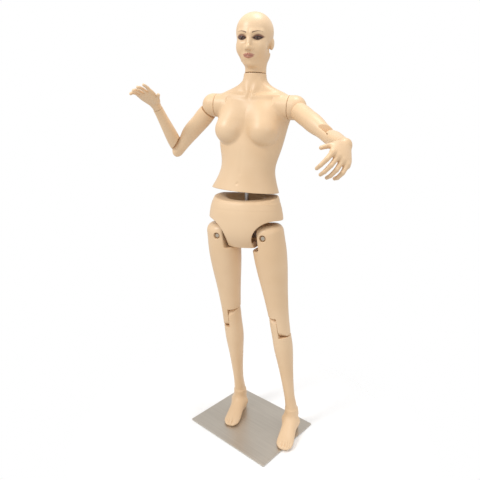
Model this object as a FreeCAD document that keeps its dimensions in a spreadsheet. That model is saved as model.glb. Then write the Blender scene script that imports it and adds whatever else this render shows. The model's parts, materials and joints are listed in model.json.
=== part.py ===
import FreeCAD, Part
import Sketcher
import math
import os
from FreeCAD import Placement, Rotation, Vector

# Full body shop mannequin on a steel base plate, posed standing with both arms raised.
# Units: millimetres and degrees.  +Z up, floor at z = 0 under the middle of the base plate,
# +X along the plate's long side, towards the mannequin's left.  The mannequin faces -Y,
# turned by body_yaw.  Every limb piece is drawn in its own frame, hanging down -Z from its
# upper joint, with x to the mannequin's left and y to its back, and is then placed.

SIZES = {
    # base
    "plate_length": 435, "plate_depth": 352, "plate_thickness": 4, "plate_corner": 3,
    "pad_diameter": 24, "pad_height": 2, "pad_inset": 28,
    "rod_diameter": 12, "rod_height": 156, "rod_collar": 26, "rod_collar_height": 5,
    "rod_screw_diameter": 6, "rod_screw_head": 12, "rod_screw_length": 16,
    "rod_bevel": 2, "collar_room": 4, "sleeve_wall": 3, "sleeve_length": 150, "sleeve_start": 8,
    "set_screw_diameter": 6, "set_screw_height": 55, "set_screw_length": 28, "set_screw_gap": 0.5,
    "hex_socket": 4, "running_gap": 0.05,
    # body and pose
    "pelvis_x": -20, "pelvis_y": -23, "pelvis_height": 898, "body_yaw": 21, "pelvis_roll": 1,
    "hip_spacing": 200, "hip_lean_right": 7, "hip_lean_left": 2.8,
    "hip_spread_right": -3.7, "hip_spread_left": 8.9,
    "thigh_length": 400, "shin_length": 410, "ankle_height": 88,
    "foot_yaw_right": 25, "foot_yaw_left": 23, "sole_gap": 1.5,
    "waist_height": 175, "waist_setback": 10, "waist_turn": -1.8, "waist_lean": 3.6, "waist_pitch": 1.6,
    "neck_height": 456, "neck_setback": 10, "head_turn": 7,
    "shoulder_spacing": 344, "shoulder_height": 335, "cap_angle": 43.5,
    "swing_right": -10.1, "swing_left": 57.5, "twist_right": 56.5, "twist_left": -35.8,
    "elbow_right": 123.3, "elbow_left": 32.5, "upper_arm_length": 265, "forearm_length": 205,
    "hand_turn_right": 82, "hand_turn_left": 90,
    # shells and joints
    "wall": 4, "core_hole": 20, "shin_core_low": 120, "shin_core_length": 80, "joint_gap": 1, "split_gap": 1,
    "knee_radius": 45, "knee_bend": 92, "knee_pin_diameter": 12, "knee_pin_length": 66, "lap_margin": 2,
    "elbow_radius": 27, "elbow_bend": 126, "elbow_pin_diameter": 8, "elbow_pin_length": 40,
    "hip_relief_drop": 56, "hip_tongue": 26, "hip_bolt_diameter": 12,
    "leg_opening_radius": 88, "leg_opening_out": 42, "leg_opening_drop": 20,
    "hip_recess_reach": 60, "eye_room": 3, "hip_bolt_rim": 3, "hip_bolt_head": 22,
    "hip_bolt_head_height": 7, "hip_recess_diameter": 27, "hip_face_depth": 58,
    "hip_nut_width": 19, "hip_nut_height": 8, "bar_thickness": 8, "bar_height": 30, "bar_eye": 20, "bar_room": 4,
    "bar_overlap": 8,
    "post_diameter": 16, "post_below": 190, "post_above": 40, "post_nut_width": 27, "post_nut_height": 9,
    "post_nut_drop": 58, "post_collar_diameter": 30, "post_collar_height": 5, "post_collar_rise": 3,
    "bush_wall": 3, "bush_length": 18, "bush_rise": 9, "waist_plate_width": 256, "waist_plate_depth": 160,
    "waist_plate_thickness": 8, "waist_plate_rise": 12,
    "neck_peg_diameter": 30, "neck_peg_length": 30, "neck_socket_wall": 4, "neck_peg_in_head": 30,
    "neck_peg_rise": 1, "neck_floor": 3,
    "cap_radius": 45, "cap_seam": 36, "armhole": 152, "boss_length": 24,
    "axle_diameter": 12, "axle_length": 62, "axle_start": 4, "axle_end": 2,
    "axle_nut_width": 19, "axle_nut_height": 8,
    "spigot_diameter": 20, "spigot_length": 36, "spigot_room": 2, "arm_bore_low": 150, "arm_bore_length": 130,
    "wrist_peg_diameter": 14, "wrist_peg_length": 24,
    "wrist_peg_in_hand": 10, "wrist_peg_room": 4, "wrist_socket": 40, "wrist_swell": 0.5,
    "bust_spacing": 138, "bust_height": 250, "bust_forward": 46, "bust_radius": 61,
    "hand_bend": 28, "wrist_stub": 20, "palm_length": 84, "palm_width": 72, "palm_thickness": 25,
    "finger_diameter": 15, "fingertip_diameter": 10, "finger_length": 76, "finger_curl": 8,
    "thumb_share": 0.76,
}

# Cross-sections of the moulded shells: height, width, depth and setback of each oval.
STATIONS = {
    "thigh": ((44, 104, 108, 0), (30, 126, 132, 0), (0, 137, 146, 0), (-60, 139, 150, 0),
              (-120, 134, 144, 0), (-180, 122, 132, 0), (-240, 108, 117, 0), (-300, 96, 104, 0),
              (-350, 88, 94, 0), (-400, 84, 88, 0), (-447, 82, 88, 0)),
    "shin": ((46, 82, 88, 0), (0, 84, 88, 0), (-45, 82, 92, 3), (-100, 82, 96, 6), (-160, 72, 87, 6),
             (-230, 58, 70, 3), (-300, 48, 57, 0), (-355, 45, 54, 0), (-395, 50, 58, 2), (-430, 50, 58, 4)),
    "foot": ((96, 50, 58, 3), (72, 56, 72, 6), (46, 60, 90, 6), (20, 62, 98, 6), (-4, 58, 92, 6)),
    "toe": ((0, 88, 60, -44), (-28, 72, 68, -33), (-60, 68, 54, -25), (-92, 72, 42, -19),
            (-128, 75, 31, -13), (-158, 60, 23, -10), (-172, 34, 14, -8)),
    "pelvis": ((167, 150, 84, 6), (161, 214, 126, 6), (148, 264, 162, 4), (126, 296, 186, 1),
               (100, 312, 197, 2), (65, 322, 204, 4), (25, 318, 204, 6), (-5, 280, 190, 6),
               (-28, 214, 160, 4), (-42, 150, 124, 2)),
    "torso": ((6, 292, 184, 0), (30, 270, 174, 0), (60, 246, 164, 0), (95, 230, 158, 0),
              (130, 236, 158, 2), (170, 256, 166, 6), (215, 274, 170, 12), (265, 292, 168, 17),
              (305, 310, 162, 17), (340, 318, 140, 14), (368, 306, 108, 12), (385, 264, 90, 12),
              (402, 184, 86, 12), (420, 120, 86, 12), (438, 92, 84, 11), (455, 86, 82, 10)),
    "head": ((1, 84, 90, 0), (10, 84, 112, -10), (30, 98, 132, -12), (55, 112, 146, -9),
             (80, 122, 156, -5), (110, 130, 166, 0), (140, 134, 172, 4), (170, 130, 166, 6),
             (195, 110, 142, 6), (212, 74, 98, 6), (221, 26, 36, 6)),
    "upper_arm": ((-37, 66, 70, 0), (-60, 68, 74, 0), (-110, 66, 70, 0), (-170, 58, 61, 0),
                  (-225, 52, 55, 0), (-265, 52, 54, 0), (-293, 50, 54, 0)),
    "forearm": ((28, 50, 54, 0), (0, 52, 54, 0), (-40, 54, 57, 0), (-85, 51, 54, 0),
                (-140, 44, 46, 0), (-185, 39, 41, 0), (-204, 38, 40, 0)),
    "palm": ((2, 36, 34, 0), (-12, 46, 32, 0), (-34, 64, 27, 0), (-60, 76, 26, 0), (-84, 74, 20, 0)),
}

SIDES = {"right": -1, "left": 1}
X_AXIS, Y_AXIS, Z_AXIS = Vector(1, 0, 0), Vector(0, 1, 0), Vector(0, 0, 1)
BIG = 400.0   # half side of the blocks that trim a shell
THROUGH = "2*400"   # length of a tool that passes right through a shell

doc = FreeCAD.newDocument("Mannequin")
sheet = doc.addObject("Spreadsheet::Sheet", "Sizes")
pieces = []


# ---- spreadsheet -------------------------------------------------------------------------

def store_sizes():
    """Write every driving dimension and every station into the sheet, one alias each."""
    rows = dict(SIZES)
    for shell, stations in STATIONS.items():
        for number, station in enumerate(stations, 1):
            for column, value in zip(("height", "width", "depth", "setback"), station):
                rows[f"{shell}_{number}_{column}"] = value
    for row, (alias, value) in enumerate(rows.items(), 1):
        sheet.set(f"A{row}", alias)
        sheet.set(f"B{row}", str(value))
        sheet.setAlias(f"B{row}", alias)
    doc.recompute()


def number(expression):
    """The value of a sheet expression, as a plain number."""
    value = sheet.evalExpression(expression)
    return float(getattr(value, "Value", value))


def size(alias):
    return float(sheet.get(alias))


# ---- building helpers --------------------------------------------------------------------

def make(kind, name, **expressions):
    """A Part primitive whose properties follow sheet expressions."""
    obj = doc.addObject(f"Part::{kind}", name)
    for prop, expression in expressions.items():
        obj.setExpression(prop, expression)
    return obj


def at(obj, x=0.0, y=0.0, z=0.0, axis=Z_AXIS, angle=0.0):
    obj.Placement = Placement(Vector(x, y, z), Rotation(axis, angle))
    return obj


def rod(name, diameter, length, start, axis=Z_AXIS):
    """A round bar of bound diameter and length whose near end is at start, along axis."""
    bar = make("Cylinder", name, Radius=f"({diameter})/2", Height=length)
    bar.Placement = Placement(start, Rotation(Z_AXIS, axis))
    return bar


def block(name, low, high):
    """A plain box between two corners, used as a cutting tool."""
    box = doc.addObject("Part::Box", name)
    box.Length, box.Width, box.Height = (b - a for a, b in zip(low, high))
    return at(box, *low)


def fuse(name, *objects):
    joined = doc.addObject("Part::MultiFuse", name)
    joined.Shapes = list(objects)
    return joined


def cut(name, base, tool):
    result = doc.addObject("Part::Cut", name)
    result.Base, result.Tool = base, tool
    return result


def oval(name, shell, number_in_shell, trim, deep):
    """One oval section of a shell; trim is taken off every side for the inner surface."""
    key = f"Sizes.{shell}_{number_in_shell}"
    wide, thick = f"({key}_width - 2*({trim}))/2", f"({key}_depth - 2*({trim}))/2"
    major, minor = (thick, wide) if deep else (wide, thick)
    section = make("Ellipse", name, MajorRadius=major, MinorRadius=minor)
    at(section, angle=90.0 if deep else 0.0)
    section.setExpression("Placement.Base.z", f"{key}_height")
    section.setExpression("Placement.Base.y", f"{key}_setback")
    return section


def shell_loft(name, shell, trim="0", first=1, last=None, deep=True):
    """A smooth solid through a shell's oval stations.  deep: the ovals are longest in y."""
    last = last or len(STATIONS[shell])
    sections = [oval(f"{name}_s{n}", shell, n, trim, deep) for n in range(first, last + 1)]
    loft = doc.addObject("Part::Loft", name)
    loft.Sections, loft.Solid, loft.Ruled = sections, True, False
    return loft


def turned(name, outline):
    """A PartDesign body turned about Z from an outline of (radius, height) expressions."""
    body = doc.addObject("PartDesign::Body", name)
    plane = [f for f in body.Origin.OriginFeatures if f.Role == "XZ_Plane"][0]
    axis = [f for f in body.Origin.OriginFeatures if f.Role == "Z_Axis"][0]
    sketch = body.newObject("Sketcher::SketchObject", f"{name}_profile")
    sketch.AttachmentSupport = [(plane, "")]
    sketch.MapMode = "FlatFace"
    points = [Vector(number(r), number(z), 0) for r, z in outline]
    draw_outline(sketch, points, outline)
    spin = body.newObject("PartDesign::Revolution", f"{name}_turn")
    spin.Profile = sketch
    spin.ReferenceAxis = (axis, [""])
    spin.Angle = 360.0
    return body


def draw_outline(sketch, points, expressions):
    """A closed polygon whose corners are held at bound distances from the sketch origin."""
    count = len(points)
    for i in range(count):
        sketch.addGeometry(Part.LineSegment(points[i], points[(i + 1) % count]))
    for i in range(count):
        sketch.addConstraint(Sketcher.Constraint("Coincident", i, 2, (i + 1) % count, 1))
    for i, (across, up) in enumerate(expressions):
        for kind, value, expression in (("DistanceX", points[i].x, across), ("DistanceY", points[i].y, up)):
            index = sketch.addConstraint(Sketcher.Constraint(kind, -1, 1, i, 1, value))
            sketch.setExpression(f"Constraints[{index}]", expression)


def padded(name, outline, depth, role="XY_Plane"):
    """A PartDesign body: a bound polygon padded by a bound depth."""
    body = doc.addObject("PartDesign::Body", name)
    plane = [f for f in body.Origin.OriginFeatures if f.Role == role][0]
    sketch = body.newObject("Sketcher::SketchObject", f"{name}_outline")
    sketch.AttachmentSupport = [(plane, "")]
    sketch.MapMode = "FlatFace"
    draw_outline(sketch, [Vector(number(x), number(y), 0) for x, y in outline], outline)
    pad = body.newObject("PartDesign::Pad", f"{name}_pad")
    pad.Profile = sketch
    pad.setExpression("Length", depth)
    return body


def rectangle(length, depth):
    """Corner expressions of a rectangle centred on the origin."""
    corners = ((-1, -1), (1, -1), (1, 1), (-1, 1))
    return [(f"{x}*{length}/2", f"{y}*{depth}/2") for x, y in corners]


def hex_nut(name, width, height, bore):
    """A hexagon nut standing on z = 0; width is across the flats."""
    prism = make("Prism", f"{name}_hexagon", Circumradius=f"{width}/sqrt(3)", Height=height)
    prism.Polygon = 6
    hole = rod(f"{name}_bore", bore, height, Vector(0, 0, 0))
    return cut(name, prism, hole)


def ring(name, outer, bore, length):
    """A plain bush standing on z = 0."""
    inside, outside = f"{bore}/2", f"{outer}/2"
    return turned(name, [(inside, "0"), (outside, "0"), (outside, length), (inside, length)])


def keep(obj, label, placement=Placement()):
    """Register a finished sub-part: its label names its node and file."""
    obj.Label = label
    obj.Placement = placement
    pieces.append(obj)
    return obj


# ---- where the joints are ----------------------------------------------------------------

def turn(axis, angle):
    return Placement(Vector(), Rotation(axis, angle))


def shift(x, y, z):
    return Placement(Vector(x, y, z), Rotation())


def plate_top():
    return size("pad_height") + size("plate_thickness")


def pelvis_place():
    middle = shift(size("pelvis_x"), size("pelvis_y"), size("pelvis_height") + plate_top())
    return middle * turn(Z_AXIS, size("body_yaw")) * turn(Y_AXIS, size("pelvis_roll"))


def hip_place(side):
    offset = shift(SIDES[side] * size("hip_spacing") / 2, 0, 0)
    return pelvis_place() * offset * turn(X_AXIS, size(f"hip_lean_{side}"))


def thigh_place(side):
    return hip_place(side) * turn(Y_AXIS, -SIDES[side] * size(f"hip_spread_{side}"))


def knee_place(side):
    return thigh_place(side) * shift(0, 0, -size("thigh_length"))


def foot_place(side):
    """On the plate under the ankle, level, toes along -y."""
    ankle = (knee_place(side) * shift(0, 0, -size("shin_length"))).Base
    return shift(ankle.x, ankle.y, plate_top()) * turn(Z_AXIS, size(f"foot_yaw_{side}"))


def post_place():
    return pelvis_place() * shift(0, size("waist_setback"), size("waist_height"))


def torso_place():
    tilt = turn(Y_AXIS, size("waist_lean")) * turn(X_AXIS, size("waist_pitch"))
    return post_place() * turn(Z_AXIS, size("waist_turn")) * tilt


def head_place():
    neck = shift(0, size("neck_setback"), size("neck_height"))
    return torso_place() * neck * turn(Z_AXIS, size("head_turn"))


def cap_place(side):
    offset = shift(SIDES[side] * size("shoulder_spacing") / 2, 0, size("shoulder_height"))
    return torso_place() * offset * turn(X_AXIS, -size(f"swing_{side}"))


def arm_place(side):
    sign = SIDES[side]
    out = turn(Y_AXIS, -sign * size("cap_angle"))
    return cap_place(side) * out * turn(Z_AXIS, sign * size(f"twist_{side}"))


def elbow_place(side):
    elbow = shift(0, 0, -size("upper_arm_length"))
    return arm_place(side) * elbow * turn(X_AXIS, -size(f"elbow_{side}"))


def wrist_place(side):
    wrist = shift(0, 0, -size("forearm_length"))
    return elbow_place(side) * wrist * turn(Z_AXIS, SIDES[side] * size(f"hand_turn_{side}"))


# ---- lap joints (knees and elbows) -------------------------------------------------------

def lap_tool(name, joint, own, upward, bend_back, other_depth):
    """What is cut off a limb's end so it laps side by side with its neighbour.

    The hinge axis is x.  The limb keeps a rounded lobe on its own side (own = -1 or 1) and
    gives way on the other side: there it stops at the face the neighbour would reach at the
    joint's greatest bend, and clears the neighbour's lobe.
    upward: +1 when the limb's body is above the axis, -1 when it is below.
    """
    radius = size(f"{joint}_radius")
    gap, split = size("joint_gap"), size("split_gap") / 2
    inside = math.radians(180 - size(f"{joint}_bend"))
    middle = (other_depth + gap) / math.sin(inside)
    slope = (90 - math.degrees(inside)) * bend_back

    near, far = own * split, -own * BIG
    low_x, high_x = min(near, far), max(near, far)
    give = block(f"{name}_slope", (low_x, -BIG, -2 * BIG), (high_x, BIG, 0))
    give.Placement = Placement(Vector(0, 0, middle), Rotation(X_AXIS, slope)) * give.Placement
    clear = doc.addObject("Part::Cylinder", f"{name}_clear")
    clear.Radius, clear.Height = radius + gap, abs(far - near)
    clear.Placement = Placement(Vector(low_x, 0, 0), Rotation(Z_AXIS, X_AXIS))

    near, far = own * split, own * BIG
    low_x, high_x = min(near, far), max(near, far)
    below = block(f"{name}_below", (low_x, -BIG, -2 * BIG), (high_x, BIG, 0))
    lobe = doc.addObject("Part::Cylinder", f"{name}_lobe")
    lobe.Radius, lobe.Height = radius, abs(far - near)
    lobe.Placement = Placement(Vector(low_x, 0, 0), Rotation(Z_AXIS, X_AXIS))
    rounding = cut(f"{name}_rounding", below, lobe)

    tool = fuse(f"{name}_tool", give, clear, rounding)
    if upward < 0:
        flipped = doc.addObject("Part::Mirroring", f"{name}_flipped")
        flipped.Source, flipped.Normal, flipped.Base = tool, Z_AXIS, Vector()
        tool = flipped
    return tool


def joint_pin(name, joint, label, placement):
    """A plain headless pin along x, centred on the hinge axis."""
    pin = turned(name, [("0", "0"), (f"Sizes.{joint}_pin_diameter/2", "0"),
                        (f"Sizes.{joint}_pin_diameter/2", f"Sizes.{joint}_pin_length"),
                        ("0", f"Sizes.{joint}_pin_length")])
    centred = Placement(Vector(-size(f"{joint}_pin_length") / 2, 0, 0), Rotation(Z_AXIS, X_AXIS))
    return keep(pin, label, placement * centred)


def pin_bore(name, joint, height, side_gap="0", end_gap="0"):
    """The blind hole for a joint pin at a given height in the limb, with room round the pin."""
    length = f"Sizes.{joint}_pin_length + 2*{end_gap}"
    return rod(name, f"Sizes.{joint}_pin_diameter + 2*{side_gap}", length,
               Vector(-number(length) / 2, 0, height), X_AXIS)


# ---- base --------------------------------------------------------------------------------

def rod_point():
    """Where the support rod stands: under the right ankle."""
    ankle = foot_place("right").Base
    return Vector(ankle.x, ankle.y, 0)


def base_plate():
    plate = padded("Plate", rectangle("Sizes.plate_length", "Sizes.plate_depth"), "Sizes.plate_thickness")
    doc.recompute()
    solid = plate.Tip
    corners = [f"Edge{i + 1}" for i, edge in enumerate(solid.Shape.Edges)
               if abs(edge.tangentAt(edge.FirstParameter).z) > 0.99]
    rounded = plate.newObject("PartDesign::Fillet", "Plate_corners")
    rounded.Base = (solid, corners)
    rounded.setExpression("Radius", "Sizes.plate_corner")
    plate.Tip = rounded
    at(plate, z=size("pad_height"))
    spot = rod_point()
    hole = rod("Plate_hole", "Sizes.rod_screw_diameter", "Sizes.plate_thickness",
               Vector(spot.x, spot.y, size("pad_height")))
    sink = make("Cone", "Plate_sink", Radius1="Sizes.rod_screw_head/2", Radius2="Sizes.rod_screw_diameter/2",
                Height="Sizes.rod_screw_head/4")
    at(sink, spot.x, spot.y, size("pad_height"))
    keep(cut("BasePlate", plate, fuse("Plate_holes", hole, sink)), "base_plate")


def base_pads():
    """Rubber discs under the four corners and the middle of the plate."""
    discs = []
    for i, (sx, sy) in enumerate(((-1, -1), (1, -1), (1, 1), (-1, 1), (0, 0))):
        x = sx * (size("plate_length") / 2 - size("pad_inset"))
        y = sy * (size("plate_depth") / 2 - size("pad_inset"))
        discs.append(rod(f"Pad{i}", "Sizes.pad_diameter", "Sizes.pad_height", Vector(x, y, 0)))
    group = doc.addObject("Part::Compound", "Pads")
    group.Links = discs
    keep(group, "base_pads")


def support_rod():
    """The upright rod with its welded collar, held from below by one countersunk screw."""
    r, screw = "Sizes.rod_diameter/2", "Sizes.rod_screw_diameter/2"
    depth = "Sizes.rod_screw_length - Sizes.plate_thickness"
    collar, high = "Sizes.rod_collar/2", "Sizes.rod_collar_height"
    post = turned("Rod", [(screw, "0"), (collar, "0"), (collar, high), (r, high),
                          (r, "Sizes.rod_height - Sizes.rod_bevel"),
                          (f"{r} - Sizes.rod_bevel", "Sizes.rod_height"),
                          ("0", "Sizes.rod_height"), ("0", depth), (screw, depth)])
    spot = rod_point()
    keep(post, "support_rod", shift(spot.x, spot.y, plate_top()))
    screw_head, thread = "Sizes.rod_screw_head/2", "Sizes.rod_screw_diameter/2"
    bolt = turned("RodScrew", [("0", "0"), (screw_head, "0"), (thread, "Sizes.rod_screw_head/4"),
                               (thread, "Sizes.rod_screw_length"), ("0", "Sizes.rod_screw_length")])
    keep(bolt, "rod_screw", shift(spot.x, spot.y, size("pad_height")))


# ---- legs --------------------------------------------------------------------------------

def thigh(side):
    sign = SIDES[side]
    name = f"Thigh_{side}"
    outer = shell_loft(f"{name}_outer", "thigh")
    hollow = shell_loft(f"{name}_hollow", "thigh", "Sizes.wall", 3, 9)
    depth = STATIONS["thigh"][-2][2] / 2 + size("lap_margin")
    lap = lap_tool(f"{name}_lap", "knee", sign, 1, 1, depth)
    lap.Placement = shift(0, 0, -size("thigh_length"))

    # the tongue round the hip bolt, cut back on the inner side to turn inside the pelvis
    tongue, drop = size("hip_tongue"), size("hip_relief_drop")
    relief = block(f"{name}_relief", *sorted_corners((-sign * BIG, -BIG, -drop), (-sign * tongue, BIG, BIG)))
    half_slot = size("bar_thickness") / 2 + size("bar_room")
    slot = block(f"{name}_slot", *sorted_corners((-sign * BIG, -half_slot, -drop),
                                                 (sign * (size("bar_eye") + size("eye_room")), half_slot, BIG)))
    face, reach = size("hip_face_depth"), size("hip_recess_reach")
    bolt_hole = rod(f"{name}_bolt_hole", "Sizes.hip_bolt_diameter", str(2 * face), Vector(0, -face, 0), Y_AXIS)
    front = rod(f"{name}_front_recess", "Sizes.hip_recess_diameter", "Sizes.hip_recess_reach",
                Vector(0, -face - reach, 0), Y_AXIS)
    back = rod(f"{name}_back_recess", "Sizes.hip_recess_diameter", "Sizes.hip_recess_reach",
               Vector(0, face, 0), Y_AXIS)
    bore = pin_bore(f"{name}_pin_bore", "knee", -size("thigh_length"))
    tools = fuse(f"{name}_tools", hollow, lap, relief, slot, bolt_hole, front, back, bore)
    keep(cut(name, outer, tools), f"thigh_{side}", thigh_place(side))


def sorted_corners(first, second):
    low = tuple(min(a, b) for a, b in zip(first, second))
    high = tuple(max(a, b) for a, b in zip(first, second))
    return low, high


def hip_bolt(side):
    """A round-headed bolt through the thigh's head, front to back, with a nut behind."""
    face, thread = size("hip_face_depth"), "Sizes.hip_bolt_diameter/2"
    head = "Sizes.hip_bolt_head/2"
    full = "2*Sizes.hip_face_depth + Sizes.hip_nut_height"
    top, rim = "-Sizes.hip_bolt_head_height", "Sizes.hip_bolt_rim"
    bolt = turned(f"HipBolt_{side}", [("0", top), (f"{head} - {rim}", top), (head, f"-{rim}"), (head, "0"),
                                      (thread, "0"), (thread, full), ("0", full)])
    front = Placement(Vector(0, -face, 0), Rotation(Z_AXIS, Y_AXIS))
    keep(bolt, f"hip_bolt_{side}", thigh_place(side) * front)
    nut = hex_nut(f"HipNut_{side}", "Sizes.hip_nut_width", "Sizes.hip_nut_height", "Sizes.hip_bolt_diameter")
    rear = Placement(Vector(0, face, 0), Rotation(Z_AXIS, Y_AXIS))
    keep(nut, f"hip_nut_{side}", thigh_place(side) * rear)


def shin_foot(side):
    """Shin and foot moulded in one; the right one holds the sleeve for the support rod."""
    sign = SIDES[side]
    name = f"Shin_{side}"
    shin = shell_loft(f"{name}_outer", "shin")
    hollow = shell_loft(f"{name}_hollow", "shin", "Sizes.wall", 4, 7)
    core = rod(f"{name}_core_hole", "Sizes.core_hole", "Sizes.shin_core_length",
               Vector(0, 0, -size("shin_core_low")))
    depth = STATIONS["shin"][1][2] / 2 + size("lap_margin")
    lap = lap_tool(f"{name}_lap", "knee", -sign, -1, 1, depth)
    bore = pin_bore(f"{name}_pin_bore", "knee", 0, "Sizes.running_gap", "Sizes.joint_gap")
    shaped = cut(f"{name}_leg", shin, fuse(f"{name}_leg_tools", hollow, core, lap, bore))
    shaped.Placement = knee_place(side)

    heel = shell_loft(f"{name}_heel", "foot")
    toes = shell_loft(f"{name}_toes", "toe", deep=False)
    toes.Placement = Placement(Vector(0, 0, 0), Rotation(X_AXIS, -90))
    gap = size("sole_gap") if side == "left" else 0.0
    under = block(f"{name}_under", (-BIG, -BIG, -BIG), (BIG, BIG, gap))
    foot = cut(f"{name}_foot", fuse(f"{name}_foot_blank", heel, toes), under)
    foot.Placement = foot_place(side)
    whole = fuse(f"{name}_whole", shaped, foot)
    if side == "left":
        keep(whole, "shin_foot_left")
        return
    spot = rod_point()
    tube = "(Sizes.rod_diameter + 2*Sizes.running_gap + 2*Sizes.sleeve_wall)"
    start = plate_top() + size("sleeve_start")
    socket = rod(f"{name}_socket", tube, "Sizes.sleeve_length", Vector(spot.x, spot.y, start))
    mouth = rod(f"{name}_mouth", "Sizes.rod_collar + Sizes.collar_room", "Sizes.sleeve_start",
                Vector(spot.x, spot.y, plate_top()))
    screw = set_screw_tool(f"{name}_screw_hole")
    tools = fuse(f"{name}_stand_tools", socket, mouth, screw)
    keep(cut(name, whole, tools), "shin_foot_right")


def set_screw_start():
    """The tip of the set screw, just short of the rod's back."""
    spot = rod_point()
    back = foot_place("right").Rotation.multVec(Y_AXIS)
    tip = size("rod_diameter") / 2 + size("set_screw_gap")
    return Vector(spot.x, spot.y, plate_top() + size("set_screw_height")) + back * tip


def set_screw_tool(name):
    """The cross hole, behind the heel, for the screw that locks the foot to the rod."""
    back = foot_place("right").Rotation.multVec(Y_AXIS)
    return rod(name, "Sizes.set_screw_diameter", THROUGH, set_screw_start(), back)


def stand_fittings():
    """The steel sleeve inside the right foot and its locking screw."""
    spot = rod_point()
    bore = "(Sizes.rod_diameter + 2*Sizes.running_gap)"
    outer = f"({bore} + 2*Sizes.sleeve_wall)"
    tube = ring("SleeveBlank", outer, bore, "Sizes.sleeve_length")
    at(tube, spot.x, spot.y, plate_top() + size("sleeve_start"))
    keep(cut("Sleeve", tube, set_screw_tool("SleeveScrewHole")), "rod_sleeve")
    back = foot_place("right").Rotation.multVec(Y_AXIS)
    thread, socket, end = "Sizes.set_screw_diameter/2", "Sizes.hex_socket/2", "Sizes.set_screw_length"
    bottom = f"{end} - Sizes.hex_socket"
    screw = turned("SetScrew", [("0", "0"), (thread, "0"), (thread, end), (socket, end), (socket, bottom),
                                ("0", bottom)])
    keep(screw, "set_screw", Placement(set_screw_start(), Rotation(Z_AXIS, back)))


# ---- pelvis and waist --------------------------------------------------------------------

def pelvis():
    """Brief-shaped shell, open at both legs, with a domed top for the waist post."""
    outer = shell_loft("Pelvis_outer", "pelvis", deep=False)
    hollow = shell_loft("Pelvis_hollow", "pelvis", "1.5*Sizes.wall", 4, 9, deep=False)
    tools = [hollow]
    for side, sign in SIDES.items():
        middle = Vector(sign * size("leg_opening_out"), -BIG, -size("leg_opening_drop"))
        opening = rod(f"Pelvis_leg_{side}", "2*Sizes.leg_opening_radius", THROUGH, middle, Y_AXIS)
        hip = shift(sign * size("hip_spacing") / 2, 0, 0) * turn(X_AXIS, size(f"hip_lean_{side}"))
        opening.Placement = hip * opening.Placement
        tools.append(opening)
    post_hole = rod("Pelvis_post_hole", "Sizes.post_diameter", THROUGH, Vector(0, size("waist_setback"), 0))
    tools.append(post_hole)
    keep(cut("Pelvis", outer, fuse("Pelvis_tools", *tools)), "pelvis_shell", pelvis_place())


def hip_bar():
    """The flat steel bar across the pelvis, welded to the foot of the waist post.  The hip bolts
    turn in its two eyes."""
    half = size("hip_spacing") / 2
    thick = size("bar_thickness")
    span = "(Sizes.hip_spacing - 2*Sizes.bar_eye + 2*Sizes.bar_overlap)"
    bar = padded("HipBar_middle", rectangle(span, "Sizes.bar_height"), "Sizes.bar_thickness", "XZ_Plane")
    bar.Placement = shift(0, thick / 2, 0)
    parts, holes = [bar], []
    for side, sign in SIDES.items():
        eye = rod(f"HipBar_eye_{side}", "2*Sizes.bar_eye", "Sizes.bar_thickness",
                  Vector(0, -thick / 2, 0), Y_AXIS)
        hole = rod(f"HipBar_hole_{side}", "Sizes.hip_bolt_diameter + 2*Sizes.running_gap", THROUGH,
                   Vector(0, -BIG, 0), Y_AXIS)
        for piece in (eye, hole):
            tilt = shift(sign * half, 0, 0) * turn(X_AXIS, size(f"hip_lean_{side}"))
            piece.Placement = tilt * piece.Placement
        parts.append(eye)
        holes.append(hole)
    seat = rod("HipBar_post_seat", "Sizes.post_diameter", THROUGH, Vector(0, size("waist_setback"), -BIG))
    body = cut("HipBar", fuse("HipBar_blank", *parts), fuse("HipBar_holes", seat, *holes))
    keep(body, "hip_bar", pelvis_place())


def waist_fittings():
    """The steel post from the hip bar up into the torso, the nut that clamps the pelvis's top
    to it, and the collar the torso rests on."""
    r = "Sizes.post_diameter/2"
    low, high = "-Sizes.post_below", "Sizes.post_above"
    post = turned("WaistPost", [("0", low), (r, low), (r, f"{high} - Sizes.rod_bevel"),
                                 (f"{r} - Sizes.rod_bevel", high), ("0", high)])
    keep(post, "waist_post", post_place())
    nut = hex_nut("WaistNut", "Sizes.post_nut_width", "Sizes.post_nut_height", "Sizes.post_diameter")
    keep(nut, "waist_nut", post_place() * shift(0, 0, -size("post_nut_drop")))
    collar = ring("WaistCollar", "Sizes.post_collar_diameter", "Sizes.post_diameter",
                  "Sizes.post_collar_height")
    keep(collar, "waist_collar", post_place() * shift(0, 0, size("post_collar_rise")))


# ---- torso and head ----------------------------------------------------------------------

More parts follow.
